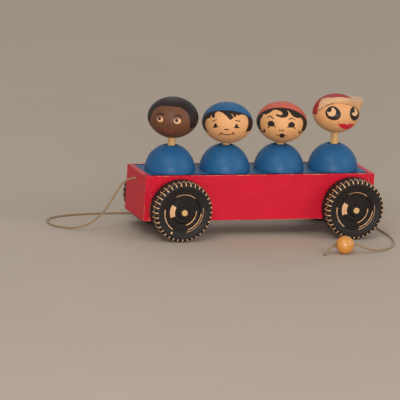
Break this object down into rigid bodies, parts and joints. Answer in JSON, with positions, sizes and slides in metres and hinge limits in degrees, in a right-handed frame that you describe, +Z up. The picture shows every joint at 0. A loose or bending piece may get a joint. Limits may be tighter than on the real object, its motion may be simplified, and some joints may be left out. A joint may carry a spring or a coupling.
{
  "type": "wooden pull toy",
  "caption": "Wooden pull wagon with round riders whose heads bob and turn as its wheels roll, on a cord with a bead.",
  "frame": {"origin": "on the floor under the middle of the toy's box, measured without the free cord and its bead", "axes": "+X towards the rear of the toy (its front points to -X), +Y to its right-hand side, +Z up"},
  "size_m": [0.3521, 0.2044, 0.145],
  "materials": {
    "red_paint": "crimson enamel on wood, satin, a little worn at the edges",
    "blue_paint": "mid blue enamel on wood, satin",
    "face_paint": "flesh enamel with painted hair, cap and face",
    "brown_face_paint": "dark brown enamel with painted hair and face",
    "cream_paint": "cream enamel on wood, satin",
    "bare_wood": "bare turned hardwood, fine straight grain",
    "black_paint": "black enamel on turned wood, low gloss",
    "tyre_rubber": "black moulded rubber with a small tread and pale marks",
    "fibre": "red-brown vulcanised fibre",
    "brad_steel": "dull steel wire",
    "cord_cotton": "twisted natural cotton string, aged tan",
    "bead_varnish": "orange-yellow varnished turned wood"
  },
  "bodies": {
    "wagon": {"side_board_left": "red_paint", "side_board_right": "red_paint", "front_board": "red_paint", "rear_board": "red_paint", "deck": "blue_paint", "corner_brads": "brad_steel", "dome_1": "blue_paint", "dome_2": "blue_paint", "dome_3": "blue_paint", "dome_4": "blue_paint", "pull_cord": "cord_cotton", "inner_knot": "cord_cotton", "pull_bead": "bead_varnish", "bead_knot": "cord_cotton"},
    "front_axle_set": {"axle_front": "bare_wood", "eccentric_front_outer": "bare_wood", "eccentric_front_inner": "bare_wood", "washer_front_left": "fibre", "washer_front_right": "fibre", "wheel_disc_front_left": "black_paint", "wheel_disc_front_right": "black_paint", "tyre_front_left": "tyre_rubber", "tyre_front_right": "tyre_rubber"},
    "rear_axle_set": {"axle_rear": "bare_wood", "eccentric_rear_outer": "bare_wood", "eccentric_rear_inner": "bare_wood", "washer_rear_left": "fibre", "washer_rear_right": "fibre", "wheel_disc_rear_left": "black_paint", "wheel_disc_rear_right": "black_paint", "tyre_rear_left": "tyre_rubber", "tyre_rear_right": "tyre_rubber"},
    "outer_bar_set": {"coupling_bar_outer": "bare_wood", "rod_block_1": "bare_wood", "rod_block_4": "bare_wood", "neck_rod_1": "bare_wood", "neck_rod_4": "bare_wood"},
    "inner_bar_set": {"coupling_bar_inner": "bare_wood", "rod_block_2": "bare_wood", "rod_block_3": "bare_wood", "neck_rod_2": "bare_wood", "neck_rod_3": "bare_wood"},
    "rider_1": {"head_1": "brown_face_paint"},
    "rider_2": {"head_2": "face_paint"},
    "rider_3": {"head_3": "face_paint"},
    "rider_4": {"head_4": "face_paint", "cap_peak": "cream_paint"}
  },
  "joints": [
    {"name": "front_axle_roll", "type": "hinge", "parent": "wagon", "child": "front_axle_set", "pos_m": [-0.09325, 0, 0.032], "axis": [0, -1, 0], "continuous": true},
    {"name": "rear_axle_roll", "type": "hinge", "parent": "wagon", "child": "rear_axle_set", "pos_m": [0.09725, 0, 0.032], "axis": [0, -1, 0], "continuous": true},
    {"name": "outer_bar_circle", "type": "hinge", "parent": "front_axle_set", "child": "outer_bar_set", "pos_m": [-0.09325, 0, 0.035], "axis": [0, -1, 0], "continuous": true},
    {"name": "inner_bar_circle", "type": "hinge", "parent": "front_axle_set", "child": "inner_bar_set", "pos_m": [-0.09325, 0, 0.029], "axis": [0, -1, 0], "continuous": true},
    {"name": "head_1_turn", "type": "hinge", "parent": "outer_bar_set", "child": "rider_1", "pos_m": [-0.093, 0, 0.11], "axis": [0, 0, 1], "continuous": true},
    {"name": "head_2_turn", "type": "hinge", "parent": "inner_bar_set", "child": "rider_2", "pos_m": [-0.0325, 0, 0.11], "axis": [0, 0, 1], "continuous": true},
    {"name": "head_3_turn", "type": "hinge", "parent": "inner_bar_set", "child": "rider_3", "pos_m": [0.028, 0, 0.11], "axis": [0, 0, 1], "continuous": true},
    {"name": "head_4_turn", "type": "hinge", "parent": "outer_bar_set", "child": "rider_4", "pos_m": [0.0885, 0, 0.11], "axis": [0, 0, 1], "continuous": true}
  ],
  "couplings": [
    {"joint": "rear_axle_roll", "follows": "front_axle_roll", "ratio": 1},
    {"joint": "outer_bar_circle", "follows": "front_axle_roll", "ratio": -1},
    {"joint": "inner_bar_circle", "follows": "front_axle_roll", "ratio": -1}
  ]
}
